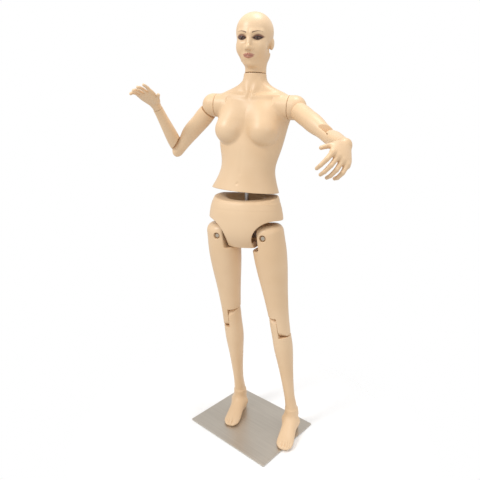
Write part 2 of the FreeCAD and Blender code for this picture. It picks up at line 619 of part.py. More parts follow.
def torso():
    """Torso and neck in one shell, closed below by the waist plate; flat round armholes."""
    trunk = shell_loft("Torso_outer", "torso", deep=False)
    busts = []
    for side, sign in SIDES.items():
        bust = make("Ellipsoid", f"Torso_bust_{side}", Radius1="Sizes.bust_radius",
                    Radius2="Sizes.bust_radius", Radius3="Sizes.bust_radius*1.06")
        at(bust, sign * size("bust_spacing") / 2, -size("bust_forward"), size("bust_height"))
        busts.append(bust)
    hollow = shell_loft("Torso_hollow", "torso", "Sizes.wall", 1, 15, deep=False)
    bust_hollows = []
    for side, sign in SIDES.items():
        void = make("Sphere", f"Torso_void_{side}", Radius="Sizes.bust_radius - Sizes.wall")
        at(void, sign * size("bust_spacing") / 2, -size("bust_forward"), size("bust_height"))
        bust_hollows.append(void)
    skin = cut("Torso_skin", fuse("Torso_solid", trunk, *busts), fuse("Torso_void", hollow, *bust_hollows))
    bosses, bores = [], []
    armhole, boss = size("armhole"), size("boss_length")
    for side, sign in SIDES.items():
        flange = rod(f"Torso_boss_{side}", "2*Sizes.cap_radius", "Sizes.boss_length",
                     Vector(sign * (armhole - boss), 0, size("shoulder_height")), X_AXIS * sign)
        bosses.append(flange)
        bore = rod(f"Torso_bore_{side}", "Sizes.axle_diameter + 2*Sizes.running_gap + 2*Sizes.bush_wall",
                   "Sizes.boss_length", Vector(sign * (armhole - boss), 0, size("shoulder_height")),
                   X_AXIS * sign)
        bores.append(bore)
        outside = sorted_corners((sign * armhole, -BIG, 0), (sign * BIG, BIG, BIG))
        bores.append(block(f"Torso_armhole_{side}", *outside))
    neck = rod("Torso_neck_bore", "Sizes.neck_peg_diameter + 2*Sizes.running_gap + 2*Sizes.neck_socket_wall",
               THROUGH, Vector(0, size("neck_setback"), neck_seat() - size("neck_floor")))
    keep(cut("Torso", fuse("Torso_joined", skin, neck_collar(), *bosses), fuse("Torso_holes", neck, *bores)),
         "torso_shell", torso_place())


def neck_seat():
    """Height of the neck socket's foot in the torso."""
    return size("neck_height") - size("neck_peg_length") - size("neck_peg_rise")


def neck_collar():
    """A collar under the neck that carries the neck socket."""
    collar = make("Cylinder", "Torso_collar", Radius="Sizes.neck_peg_diameter/2 + 3*Sizes.neck_socket_wall",
                  Height="Sizes.neck_peg_length + 2*Sizes.neck_floor")
    return at(collar, 0, size("neck_setback"), neck_seat() - 2 * size("neck_floor"))


def waist_plate():
    """The board inside the torso's lower rim, turning on the post through a bush."""
    board = make("Ellipse", "WaistPlate_edge", MajorRadius="Sizes.waist_plate_width/2",
                 MinorRadius="Sizes.waist_plate_depth/2")
    slab = doc.addObject("Part::Extrusion", "WaistPlate_slab")
    slab.Base, slab.DirMode, slab.Solid, slab.Dir = board, "Custom", True, Z_AXIS
    slab.setExpression("LengthFwd", "Sizes.waist_plate_thickness")
    slab.Placement = torso_place() * shift(0, 0, size("waist_plate_rise"))
    hole = rod("WaistPlate_hole", "Sizes.post_diameter + 2*Sizes.running_gap + 2*Sizes.bush_wall", THROUGH,
               Vector(0, 0, -BIG))
    hole.Placement = post_place() * hole.Placement
    keep(cut("WaistPlate", slab, hole), "waist_plate")
    bore = "(Sizes.post_diameter + 2*Sizes.running_gap)"
    bush = ring("WaistBush", f"({bore} + 2*Sizes.bush_wall)", bore, "Sizes.bush_length")
    keep(bush, "waist_bush", post_place() * shift(0, 0, size("bush_rise")))


def neck_socket():
    bore = "(Sizes.neck_peg_diameter + 2*Sizes.running_gap)"
    socket = ring("NeckSocket", f"({bore} + 2*Sizes.neck_socket_wall)", bore, "Sizes.neck_peg_length")
    keep(socket, "neck_socket",
         torso_place() * shift(0, size("neck_setback"), neck_seat()))


def head():
    outer = shell_loft("Head_outer", "head")
    hollow = shell_loft("Head_hollow", "head", "1.5*Sizes.wall", 3, 9)
    peg_hole = rod("Head_peg_hole", "Sizes.neck_peg_diameter", "Sizes.neck_peg_in_head + 4", Vector(0, 0, 0))
    keep(cut("Head", outer, fuse("Head_tools", hollow, peg_hole)), "head_shell", head_place())
    r, bevel = "Sizes.neck_peg_diameter/2", "Sizes.rod_bevel"
    low, high = "Sizes.neck_peg_rise - Sizes.neck_peg_length", "Sizes.neck_peg_in_head"
    peg = turned("NeckPeg", [("0", low), (f"{r} - {bevel}", low), (r, f"{low} + {bevel}"),
                             (r, high), ("0", high)])
    keep(peg, "neck_peg", head_place())


# ---- arms --------------------------------------------------------------------------------

def shoulder_cap(side):
    """A domed cap that swings on the shoulder axle; a slanting seam faces the upper arm."""
    sign = SIDES[side]
    name = f"Cap_{side}"
    inner = size("shoulder_spacing") / 2 - size("armhole") - size("joint_gap")
    drum = rod(f"{name}_drum", "2*Sizes.cap_radius", str(inner), Vector(-sign * inner, 0, 0), X_AXIS * sign)
    dome = make("Sphere", f"{name}_dome", Radius="Sizes.cap_radius")
    beyond = block(f"{name}_beyond", (-BIG, -BIG, -BIG), (BIG, BIG, -size("cap_seam")))
    beyond.Placement = turn(Y_AXIS, -sign * size("cap_angle")) * beyond.Placement
    inside = block(f"{name}_inside", *sorted_corners((-sign * BIG, -BIG, -BIG), (-sign * inner, BIG, BIG)))
    axle_hole = rod(f"{name}_axle_hole", "Sizes.axle_diameter", "Sizes.axle_length",
                    Vector(sign * size("axle_start"), 0, 0), X_AXIS * -sign)
    arm_hole = rod(f"{name}_arm_hole", "Sizes.spigot_diameter + 2*Sizes.running_gap", "Sizes.spigot_length",
                   Vector(0, 0, -size("cap_seam") - size("spigot_length") / 2 - size("spigot_room")))
    arm_hole.Placement = turn(Y_AXIS, -sign * size("cap_angle")) * arm_hole.Placement
    tools = fuse(f"{name}_tools", beyond, inside, axle_hole, arm_hole)
    keep(cut(name, fuse(f"{name}_blank", drum, dome), tools), f"shoulder_cap_{side}", cap_place(side))


def shoulder_fittings(side):
    """The axle fixed in the cap, its nut inside the torso, and the bush it turns in."""
    sign = SIDES[side]
    r = "Sizes.axle_diameter/2"
    long = "Sizes.axle_length"
    axle = turned(f"Axle_{side}", [("0", "0"), (r, "0"), (r, long), ("0", long)])
    inward = Rotation(Z_AXIS, X_AXIS * -sign)
    outer_end = Placement(Vector(sign * size("axle_start"), 0, 0), inward)
    keep(axle, f"shoulder_axle_{side}", cap_place(side) * outer_end)
    nut = hex_nut(f"AxleNut_{side}", "Sizes.axle_nut_width", "Sizes.axle_nut_height", "Sizes.axle_diameter")
    nut_start = size("axle_start") + size("axle_end") + size("axle_nut_height") - size("axle_length")
    keep(nut, f"shoulder_nut_{side}", cap_place(side) * Placement(Vector(sign * nut_start, 0, 0), inward))
    bore = "(Sizes.axle_diameter + 2*Sizes.running_gap)"
    bush = ring(f"ShoulderBush_{side}", f"({bore} + 2*Sizes.bush_wall)", bore, "Sizes.boss_length")
    shoulder = shift(sign * size("armhole"), 0, size("shoulder_height"))
    keep(bush, f"shoulder_bush_{side}", torso_place() * shoulder * Placement(Vector(), inward))


def upper_arm(side):
    sign = SIDES[side]
    name = f"UpperArm_{side}"
    outer = shell_loft(f"{name}_outer", "upper_arm")
    hollow = shell_loft(f"{name}_hollow", "upper_arm", "Sizes.wall", 3, 4)
    depth = STATIONS["upper_arm"][-2][2] / 2 + size("lap_margin")
    lap = lap_tool(f"{name}_lap", "elbow", -sign, 1, -1, depth)
    lap.Placement = shift(0, 0, -size("upper_arm_length"))
    bore = pin_bore(f"{name}_pin_bore", "elbow", -size("upper_arm_length"))
    spigot_hole = rod(f"{name}_spigot_hole", "Sizes.spigot_diameter", "Sizes.arm_bore_length",
                      Vector(0, 0, -size("arm_bore_low")))
    keep(cut(name, outer, fuse(f"{name}_tools", hollow, lap, bore, spigot_hole)),
         f"upper_arm_{side}", arm_place(side))
    r = "Sizes.spigot_diameter/2"
    low = "-Sizes.cap_seam - Sizes.spigot_length/2"
    high = f"{low} + Sizes.spigot_length - 2*Sizes.spigot_room"
    spigot = turned(f"Spigot_{side}", [("0", low), (r, low), (r, high), ("0", high)])
    keep(spigot, f"arm_spigot_{side}", arm_place(side))


def forearm(side):
    sign = SIDES[side]
    name = f"Forearm_{side}"
    outer = shell_loft(f"{name}_outer", "forearm")
    hollow = shell_loft(f"{name}_hollow", "forearm", "Sizes.wall", 4, 6)
    depth = STATIONS["forearm"][1][2] / 2 + size("lap_margin")
    lap = lap_tool(f"{name}_lap", "elbow", sign, -1, -1, depth)
    bore = pin_bore(f"{name}_pin_bore", "elbow", 0, "Sizes.running_gap", "Sizes.joint_gap")
    socket = rod(f"{name}_socket", "Sizes.wrist_peg_diameter + 2*Sizes.running_gap", "Sizes.wrist_socket",
                 Vector(0, 0, -size("forearm_length") - 2))
    tools = fuse(f"{name}_tools", hollow, lap, bore, socket)
    keep(cut(name, outer, tools), f"forearm_{side}", elbow_place(side))


def hand(side):
    """A hand bent at the wrist, palm towards +y, thumb on the inner side, five digits."""
    sign = SIDES[side]
    name = f"Hand_{side}"
    stub = make("Cylinder", f"{name}_stub", Radius="Sizes.forearm_7_width/2", Height="Sizes.wrist_stub")
    at(stub, z=-size("wrist_stub"))
    ball = make("Sphere", f"{name}_ball", Radius="Sizes.forearm_7_width/2 + Sizes.wrist_swell")
    at(ball, z=-size("wrist_stub"))
    bend = shift(0, 0, -size("wrist_stub")) * turn(X_AXIS, size("hand_bend"))
    palm = shell_loft(f"{name}_palm", "palm", deep=False)
    palm.Placement = bend
    digits = []
    for i, share in enumerate((0.90, 1.0, 0.95, 0.78)):
        across = sign * (-1.5 + i) * size("palm_width") / 4
        finger = finger_shape(f"{name}_finger{i}", share)
        knuckle = shift(across, 0, -size("palm_length") + 8) * turn(Y_AXIS, -sign * (-1.5 + i) * 4)
        finger.Placement = bend * knuckle * turn(X_AXIS, size("finger_curl") * (1 + i / 2))
        digits.append(finger)
    thumb = finger_shape(f"{name}_thumb", size("thumb_share"), 1.15)
    root = shift(-sign * 20, 4, -22) * turn(Y_AXIS, sign * 42) * turn(X_AXIS, 14)
    thumb.Placement = bend * root
    blank = fuse(f"{name}_blank", stub, ball, palm, thumb, *digits)
    hole = rod(f"{name}_peg_hole", "Sizes.wrist_peg_diameter", "Sizes.wrist_peg_in_hand",
               Vector(0, 0, -size("wrist_peg_in_hand")))
    keep(cut(name, blank, hole), f"hand_{side}", wrist_place(side))
    r = "Sizes.wrist_peg_diameter/2"
    low, top = "-Sizes.wrist_peg_in_hand", "Sizes.wrist_peg_length - Sizes.wrist_peg_room"
    peg = turned(f"WristPeg_{side}", [("0", low), (r, low), (r, f"{top} - 1"), (f"{r} - 1", top), ("0", top)])
    keep(peg, f"wrist_peg_{side}", wrist_place(side))


def finger_shape(name, share, thick=1.0):
    """A tapering digit with a blunt tip, hanging down -z from its knuckle.

    share is its length against the middle finger's, thick its girth against a finger's.
    """
    base, tip = f"{thick}*Sizes.finger_diameter/2", f"{thick}*Sizes.fingertip_diameter/2"
    low = f"-{share}*Sizes.finger_length"
    return turned(name, [("0", low), (f"0.55*{tip}", low), (tip, f"{low} + 0.7*{tip}"), (base, "0"),
                         (f"0.6*{base}", f"0.7*{base}"), ("0", f"0.7*{base}")])


# ---- assembly ----------------------------------------------------------------------------

def build():
    store_sizes()
    base_plate()
    base_pads()
    support_rod()
    stand_fittings()
    pelvis()
    hip_bar()
    waist_fittings()
    torso()
    waist_plate()
    neck_socket()
    head()
    for side in SIDES:
        thigh(side)
        hip_bolt(side)
        shin_foot(side)
        joint_pin(f"KneePin_{side}", "knee", f"knee_pin_{side}", knee_place(side))
        shoulder_cap(side)
        shoulder_fittings(side)
        upper_arm(side)
        forearm(side)
        elbow = arm_place(side) * shift(0, 0, -size("upper_arm_length"))
        joint_pin(f"ElbowPin_{side}", "elbow", f"elbow_pin_{side}", elbow)
        hand(side)
    doc.recompute()


def check_and_export():
    """Stop on any failed object or bad solid, then write one STEP file per sub-part."""
    failed = [obj.Name for obj in doc.Objects if {"Invalid", "Error"} & set(obj.State)]
    if failed:
        raise RuntimeError(f"failed objects: {failed}")
    for obj in pieces:
        if obj.Shape.isNull() or not obj.Shape.isValid() or not obj.Shape.Solids:
            raise RuntimeError(f"bad solid: {obj.Label}")
    os.makedirs("parts", exist_ok=True)
    for obj in pieces:
        obj.Shape.exportStep(os.path.join("parts", f"{obj.Label}.step"))


build()
check_and_export()
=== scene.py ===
import json
import math

import bpy
import numpy as np
import openvdb
from mathutils import Matrix, Vector


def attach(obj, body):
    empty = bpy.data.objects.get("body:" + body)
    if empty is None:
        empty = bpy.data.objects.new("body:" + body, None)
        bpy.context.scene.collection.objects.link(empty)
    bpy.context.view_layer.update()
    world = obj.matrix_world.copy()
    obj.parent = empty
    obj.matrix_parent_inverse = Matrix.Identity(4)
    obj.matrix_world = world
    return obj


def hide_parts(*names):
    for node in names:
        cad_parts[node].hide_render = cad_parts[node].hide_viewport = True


# Looks of a full body shop mannequin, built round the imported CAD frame.
# Shells are distance fields in millimetres, each in its limb's own frame (x towards the
# mannequin's left, y to its back, limbs hanging down -z).  A field is negative inside the
# solid.  Each is meshed, scaled to metres and carried to its place in the frame.

MM = 0.001
WALL = 4.0
GAP = 1.0             # clearance between a lap joint's lobe and the limb that turns round it
SPLIT = 0.5           # half the gap between the two lobes of a lap joint
EDGE = 1.6            # rounding of moulded seam edges
BORE_EDGE = 0.6       # rounding of bored holes
SIDES = {"right": -1, "left": 1}
COARSE = 1.0

# How the limbs are turned, in degrees, where the frame's joints don't say it.
HEAD_TURN = 7.0
FOOT_YAW = {"right": 25.0, "left": 23.0}
HAND_TURN = {"right": 82.0, "left": 90.0}
HIP_LEAN = {"right": 7.0, "left": 2.8}
SOLE_GAP = {"right": 0.0, "left": 1.5}   # how far each sole stands off the plate
PLATE_TOP = 6.0
SHIN_LENGTH = 410.0

# Cross-sections of the shells: height, width, depth, setback.
THIGH = ((44, 104, 108, 0), (30, 126, 132, 0), (0, 137, 146, 0), (-60, 139, 150, 0),
         (-120, 134, 144, 0), (-180, 122, 132, 0), (-240, 108, 117, 0), (-300, 96, 104, 0),
         (-350, 88, 94, 0), (-400, 84, 88, 0), (-447, 82, 88, 0))
SHIN = ((46, 82, 88, 0), (0, 84, 88, 0), (-45, 82, 92, 3), (-100, 82, 96, 6), (-160, 72, 87, 6),
        (-230, 58, 70, 3), (-300, 48, 57, 0), (-355, 45, 54, 0), (-395, 50, 58, 2), (-430, 50, 58, 4))
HEEL = ((96, 50, 58, 3), (72, 56, 72, 6), (46, 60, 90, 6), (20, 62, 98, 6), (-4, 58, 92, 6))
INSTEP = ((0, 88, 60, -44), (-28, 70, 68, -33), (-56, 66, 54, -25), (-84, 69, 42, -19),
          (-114, 71, 31, -13), (-142, 58, 23, -10), (-156, 34, 14, -8))
RIM = ((166, 268, 158, 9), (150, 282, 170, 6), (128, 294, 184, 2), (110, 304, 190, 2))
PELVIS = ((132, 292, 182, 1), (100, 312, 197, 2), (65, 322, 204, 4), (25, 318, 204, 6),
          (-5, 280, 190, 6), (-28, 222, 162, 4), (-51, 158, 126, 2))
TORSO = ((6, 292, 184, 0), (30, 270, 174, 0), (60, 246, 164, 0), (95, 230, 158, 0),
         (130, 236, 158, 2), (170, 256, 166, 6), (215, 274, 170, 12), (265, 292, 168, 17),
         (305, 310, 162, 17), (340, 318, 140, 14), (368, 306, 108, 12), (385, 264, 90, 12),
         (402, 184, 86, 12), (420, 120, 86, 12), (438, 92, 84, 11), (455, 86, 82, 10))
NECK_STUB = ((-1, 84, 84, 0), (12, 82, 86, -2), (40, 84, 92, -2), (70, 92, 110, 4))
UPPER_ARM = ((-37, 67, 71, 0), (-60, 68, 74, 0), (-110, 66, 70, 0), (-170, 58, 61, 0),
             (-225, 52, 55, 0), (-265, 52, 54, 0), (-293, 50, 54, 0))
FOREARM = ((28, 50, 54, 0), (0, 52, 54, 0), (-40, 54, 57, 0), (-85, 51, 54, 0),
           (-140, 44, 46, 0), (-185, 39, 41, 0), (-204, 38, 40, 0))
PALM = ((2, 36, 34, 0), (-12, 45, 31, 0), (-34, 60, 27, 0), (-60, 72, 25, 0), (-86, 70, 19, 1))

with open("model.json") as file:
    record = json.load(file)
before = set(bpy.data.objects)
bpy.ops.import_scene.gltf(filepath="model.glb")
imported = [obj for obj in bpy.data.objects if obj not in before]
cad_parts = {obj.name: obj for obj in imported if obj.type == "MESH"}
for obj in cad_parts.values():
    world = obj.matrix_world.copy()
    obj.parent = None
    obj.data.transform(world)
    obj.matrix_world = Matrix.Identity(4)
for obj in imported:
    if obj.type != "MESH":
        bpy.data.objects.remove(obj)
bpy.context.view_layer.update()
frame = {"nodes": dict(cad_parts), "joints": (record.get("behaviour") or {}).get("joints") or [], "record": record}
joints = {joint["name"]: joint for joint in frame["joints"]}


# ---- places of the limbs, from the frame's joints ------------------------------------------

def joint_point(name):
    return Vector(joints[name]["pos_m"])


def joint_axis(name):
    return Vector(joints[name]["axis"]).normalized()


def place(origin, across, up):
    """A limb's frame as a matrix: x along across, z as near to up as it can be."""
    x = across.normalized()
    y = up.cross(x).normalized()
    matrix = Matrix((x, y, x.cross(y))).transposed().to_4x4()
    matrix.translation = origin
    return matrix


def spun(matrix, axis, degrees):
    return matrix @ Matrix.Rotation(math.radians(degrees), 4, axis)


def facing(axis, like):
    return axis if axis.dot(like) > 0 else -axis


HIPS = {side: joint_point(f"hip_{side}_spread") for side in SIDES}
LEFTWARD = (HIPS["left"] - HIPS["right"]).normalized()


def pelvis_place():
    return place((HIPS["left"] + HIPS["right"]) / 2, LEFTWARD, joint_axis("waist_turn"))


def torso_place():
    across = facing(joint_axis("shoulder_left_swing"), LEFTWARD)
    return place(joint_point("waist_turn"), across, joint_axis("head_turn"))


def head_place():
    across = facing(joint_axis("shoulder_left_swing"), LEFTWARD)
    return spun(place(joint_point("head_turn"), across, joint_axis("head_turn")), "Z", HEAD_TURN)


def thigh_place(side):
    knee = f"knee_{side}_bend"
    return place(HIPS[side], facing(joint_axis(knee), LEFTWARD), HIPS[side] - joint_point(knee))


def shin_place(side):
    matrix = thigh_place(side)
    matrix.translation = joint_point(f"knee_{side}_bend")
    return matrix


def foot_place(side):
    """On the plate under the ankle, toes along -y."""
    ankle = shin_place(side) @ Vector((0, 0, -SHIN_LENGTH * MM))
    return spun(Matrix.Translation((ankle.x, ankle.y, PLATE_TOP * MM)), "Z", FOOT_YAW[side])


def arm_place(side):
    """The upper arm's frame; an elbow's axis in the record points to the right of its arm."""
    shoulder, elbow = joint_point(f"shoulder_{side}_swing"), joint_point(f"elbow_{side}_bend")
    return place(shoulder, -joint_axis(f"elbow_{side}_bend"), shoulder - elbow)


def cap_place(side):
    """The shoulder cap's frame: x along the swing axis, the arm leaning outwards in xz."""
    matrix = arm_place(side)
    across = facing(joint_axis(f"shoulder_{side}_swing"), LEFTWARD)
    return place(matrix.translation, across, matrix.col[2].to_3d())


def forearm_place(side):
    elbow, wrist = joint_point(f"elbow_{side}_bend"), joint_point(f"wrist_{side}_turn")
    return place(elbow, -joint_axis(f"elbow_{side}_bend"), elbow - wrist)


def hand_place(side):
    matrix = forearm_place(side)
    matrix.translation = joint_point(f"wrist_{side}_turn")
    return spun(matrix, "Z", SIDES[side] * HAND_TURN[side])


# ---- distance fields ------------------------------------------------------------------------

def curve(heights, values):
    """A natural cubic spline through the values, as a function of height."""
    order = np.argsort(heights)
    at = np.array(heights, float)[order]
    value = np.array(values, float)[order]
    count, step = len(at), np.diff(at)
    system, right = np.eye(count), np.zeros(count)
    for i in range(1, count - 1):
        system[i, i - 1:i + 2] = step[i - 1], 2 * (step[i - 1] + step[i]), step[i]
        right[i] = 6 * ((value[i + 1] - value[i]) / step[i] - (value[i] - value[i - 1]) / step[i - 1])
    bend = np.linalg.solve(system, right)

    def smooth(z):
        z = np.clip(z, at[0], at[-1])
        k = np.clip(np.searchsorted(at, z) - 1, 0, count - 2)
        below, above = (at[k + 1] - z) / step[k], (z - at[k]) / step[k]
        sag = ((below ** 3 - below) * bend[k] + (above ** 3 - above) * bend[k + 1]) * step[k] ** 2 / 6
        return below * value[k] + above * value[k + 1] + sag
    return smooth


def join(a, b, round_off=0.0):
    """Union of two solids, filleted where they meet; the fillet may vary from point to point."""
    if np.isscalar(round_off) and round_off == 0:
        return np.minimum(a, b)
    share = np.clip(0.5 + 0.5 * (b - a) / round_off, 0, 1)
    return b + (a - b) * share - round_off * share * (1 - share)


def trim(a, b, round_off=0.0):
    """What two solids share, with a rounded edge."""
    return -join(-a, -b, round_off)


def carve(a, tool, round_off=0.0):
    """The solid a without tool, with a rounded edge."""
    return trim(a, -tool, round_off)


def tube(stations, x, y, z, inset=0.0, cap=0.0):
    """A shell through oval sections; inset shrinks it, cap rounds its two end faces."""
    heights = [s[0] for s in stations]
    half_wide = curve(heights, [s[1] / 2 for s in stations])(z) - inset
    half_deep = curve(heights, [s[2] / 2 for s in stations])(z) - inset
    back = curve(heights, [s[3] for s in stations])(z)
    u, v = x / half_wide, (y - back) / half_deep
    reach = np.sqrt(u * u + v * v) + 1e-9
    slope = np.sqrt((u / half_wide) ** 2 + (v / half_deep) ** 2) + 1e-9
    side = reach * (reach - 1) / slope
    ends = np.maximum(z - max(heights), min(heights) - z)
    return trim(side, ends, cap)


def egg(centre, radii, x, y, z):
    u, v, w = ((c - m) / r for c, m, r in zip((x, y, z), centre, radii))
    reach = np.sqrt(u * u + v * v + w * w) + 1e-9
    slope = np.sqrt((u / radii[0]) ** 2 + (v / radii[1]) ** 2 + (w / radii[2]) ** 2) + 1e-9
    return reach * (reach - 1) / slope


def stick(start, end, start_radius, end_radius, x, y, z):
    """A tapering bar with round ends."""
    along = [e - s for s, e in zip(start, end)]
    length = sum(a * a for a in along)
    run = sum(a * (c - s) for a, c, s in zip(along, (x, y, z), start)) / length
    run = np.clip(run, 0, 1)
    away = sum((c - s - run * a) ** 2 for c, s, a in zip((x, y, z), start, along))
    return np.sqrt(away) - (start_radius + (end_radius - start_radius) * run)


def drum(radius, u, v):
    """An endless cylinder; u and v are the distances across its axis."""
    return np.sqrt(u * u + v * v) - radius


def seen_from(matrix, x, y, z):
    """The same points in the coordinates of another frame, given in millimetres."""
    inverse = matrix.inverted()
    return tuple(row[0] * x + row[1] * y + row[2] * z + row[3] for row in inverse[:3])


def in_millimetres(base, other):
    """Where the frame other stands in the frame base, with its shift in millimetres."""
    relative = base.inverted() @ other
    relative.translation = relative.translation / MM
    return relative


# ---- meshing --------------------------------------------------------------------------------

BAND = 3              # steps of the field that are kept on either side of a surface
REFINE_ROUNDS, SLOPE_REACH = 3, 0.25   # passes, and how far to either side the slope is read
LEAST_STEEPNESS, LONGEST_MOVE = 0.15, 1.5


def refined(points, solid):
    """The points, moved along the field's slope onto its zero surface."""
    for _ in range(REFINE_ROUNDS):
        value = solid(*points.T)
        gradient = np.stack([solid(*(points + SLOPE_REACH * unit).T) - solid(*(points - SLOPE_REACH * unit).T)
                             for unit in np.eye(3)], axis=1) / (2 * SLOPE_REACH)
        steep = np.maximum((gradient ** 2).sum(axis=1), LEAST_STEEPNESS)
        move = np.clip(value / steep, -LONGEST_MOVE, LONGEST_MOVE)[:, None] * gradient
        points = points - move
    return points


def meshed(name, solid, box, matrix, body, material, node):
    """Build the piece bounded by the field solid, ride it on body and show it for the CAD node.

    box is two opposite corners and the step of the grid.  Also gives the mesh's points, in
    the piece's own frame and in millimetres.
    """
    low, high, step = box
    step = step * COARSE
    axes = [np.arange(a - 2 * step, b + 3 * step, step) for a, b in zip(low, high)]
    grid_points = np.meshgrid(*axes, indexing="ij", sparse=True)
    values = np.clip(solid(*grid_points), -BAND * step, BAND * step).astype(np.float32)
    grid = openvdb.FloatGrid(BAND * step)
    grid.copyFromArray(values)
    corners, _, quads = grid.convertToPolygons(0.0, 0.0)
    points = corners * step + np.array([axis[0] for axis in axes])
    points = refined(points.astype(float), solid)
    mesh = bpy.data.meshes.new(name)
    mesh.from_pydata((points * MM).tolist(), [], quads[:, ::-1].tolist())
    mesh.polygons.foreach_set("use_smooth", [True] * len(mesh.polygons))
    mesh.transform(matrix)
    mesh.validate()
    piece = bpy.data.objects.new(name, mesh)
    bpy.context.scene.collection.objects.link(piece)
    mesh.materials.append(material)
    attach(piece, body)
    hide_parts(node)
    return piece, points


# ---- lap joints -----------------------------------------------------------------------------

LAPS = {"knee": (45, 92), "elbow": (27, 126)}   # lobe radius, greatest bend in degrees


def lap_cut(joint, own, upward, crease_side, half_depth, x, y, z):
    """What is cut off a limb's end so that it laps side by side with its neighbour.

    The hinge is x.  own is the side, -1 or 1, whose lobe the limb keeps; upward is 1 where
    the limb lies above the hinge and -1 where it lies below; crease_side is 1 where the
    joint bends to the back and -1 where it bends to the front.  On the side it gives up,
    the limb stops at the face that its neighbour, half_depth from middle to face, reaches
    at the greatest bend.
    """
    radius, most = LAPS[joint]
    up = upward * z
    inside = math.radians(180 - most)
    plane = up * math.sin(inside) - crease_side * y * math.cos(inside) - half_depth - GAP
    give_side = own * x - SPLIT
    lobe = drum(radius, y, z)
    give = join(plane, lobe - GAP)
    rounding = np.maximum(up, -lobe)
    return join(np.maximum(give, give_side), np.maximum(rounding, -give_side))


# ---- legs -----------------------------------------------------------------------------------

THIGH_LENGTH = 400
THIGH_TOP_ROUND = 14
TONGUE, TONGUE_DROP = 26, 56        # the thigh's inner side is cut back round the hip bolt
TONGUE_ROUND, TONGUE_EDGE = 14, 5
HIP_FACE, RECESS = 58, 13.5         # the bolt head's seat, out from the middle, and its radius
BAR_SLOT, BAR_EYE = 8, 23           # half the slot's width, and its reach past the bolt
KNEE_DEPTH = 46                     # half the leg's depth at the knee, with a margin
SLEEVE_BORE, SLEEVE_TOP = 9.3, 160
COLLAR_ROOM, COLLAR_TOP = 15, 8
SET_SCREW_START, SET_SCREW_END, SET_SCREW_BORE = (0, 6, 55), (0, 60, 55), 3.2
ANKLE_FILLET, INSTEP_FILLET, SOLE_EDGE = 16, 14, 2.0
INSTEP_CAP = 7                      # rounding of the foot's blunt front
TOE_GAP_RUN, TOE_GAP_TOP, TOE_GAP_FOOT = 48, 26, 6   # length and heights of a gap's two ends
TOE_GAP_START, TOE_GAP_END, TOE_GAP_EDGE = 1.2, 4.2, 3   # its radii and edge rounding
TOE_GAPS = ((-8, -126), (6, -127), (17, -123), (26, -116))   # across, and where each begins


def thigh_solid(side):
    sign = SIDES[side]

    def solid(x, y, z):
        body = tube(THIGH, x, y, z, cap=THIGH_TOP_ROUND)
        body = carve(body, lap_cut("knee", sign, 1, 1, KNEE_DEPTH, x, y, z + THIGH_LENGTH), EDGE)
        inner = trim(sign * x + TONGUE, -z - TONGUE_DROP, TONGUE_ROUND)
        body = carve(body, inner, TONGUE_EDGE)
        slot = np.maximum(np.maximum(np.abs(y) - BAR_SLOT, sign * x - BAR_EYE), -z - TONGUE_DROP)
        recess = np.maximum(drum(RECESS, x, z), HIP_FACE - np.abs(y))
        return carve(carve(body, slot, EDGE), recess, EDGE)
    return solid


def foot_field(side, x, y, z):
    """Heel, instep and barely parted toes; the big toe is on the inner side."""
    sign = SIDES[side]
    foot = join(tube(HEEL, x, y, z), tube(INSTEP, x, -z, y, cap=INSTEP_CAP), INSTEP_FILLET)
    for across, start in TOE_GAPS:
        back = (sign * across, start, TOE_GAP_TOP)
        front = (sign * across * 1.05, start - TOE_GAP_RUN, TOE_GAP_FOOT)
        groove = stick(back, front, TOE_GAP_START, TOE_GAP_END, x, y, z)
        foot = carve(foot, groove, TOE_GAP_EDGE)
    return foot


def shin_solid(side):
    """Shin and foot in one; the right heel holds the support rod's sleeve."""
    sign = SIDES[side]
    foot_frame = in_millimetres(shin_place(side), foot_place(side))

    def solid(x, y, z):
        leg = tube(SHIN, x, y, z)
        foot_points = seen_from(foot_frame, x, y, z)
        body = join(leg, foot_field(side, *foot_points), ANKLE_FILLET)
        body = carve(body, lap_cut("knee", -sign, -1, 1, KNEE_DEPTH, x, y, z), EDGE)
        height = foot_points[2]
        body = trim(body, SOLE_GAP[side] - height, SOLE_EDGE)
        if side == "right":
            bore = np.maximum(drum(SLEEVE_BORE, *foot_points[:2]), height - SLEEVE_TOP)
            mouth = np.maximum(drum(COLLAR_ROOM, *foot_points[:2]), height - COLLAR_TOP)
            screw = stick(SET_SCREW_START, SET_SCREW_END, SET_SCREW_BORE, SET_SCREW_BORE, *foot_points)
            body = carve(body, join(join(bore, mouth), screw), BORE_EDGE)
        return body
    return solid


# ---- pelvis and torso -----------------------------------------------------------------------

HIP_SPACING = 200
LEG_OPENING, OPENING_OUT, OPENING_DROP = 88, 42, 20   # radius and place, from the hip bolt
OPENING_EDGE = 2.2
POST_RADIUS, POST_SETBACK, POST_GAP = 8, 10, 0.2
DISH = ((0, -14, 190), (112, 78, 56))     # centre and radii of the hollow in the pelvis's top
DISH_EDGE = 3
LIP_TOP, LIP_BACK, LIP_DROP, LIP_EDGE = 164, 40, 0.20, 4   # the rim falls forwards of LIP_BACK
RIM_FILLET = 6
BUTTOCK, BUTTOCK_SIZE, BUTTOCK_FILLET = (62, 46, 12), (64, 62, 52), 26
HOLLOW_STATIONS, HOLLOW_WALL, HOLLOW_EDGE = 6, 1.5 * WALL, 2


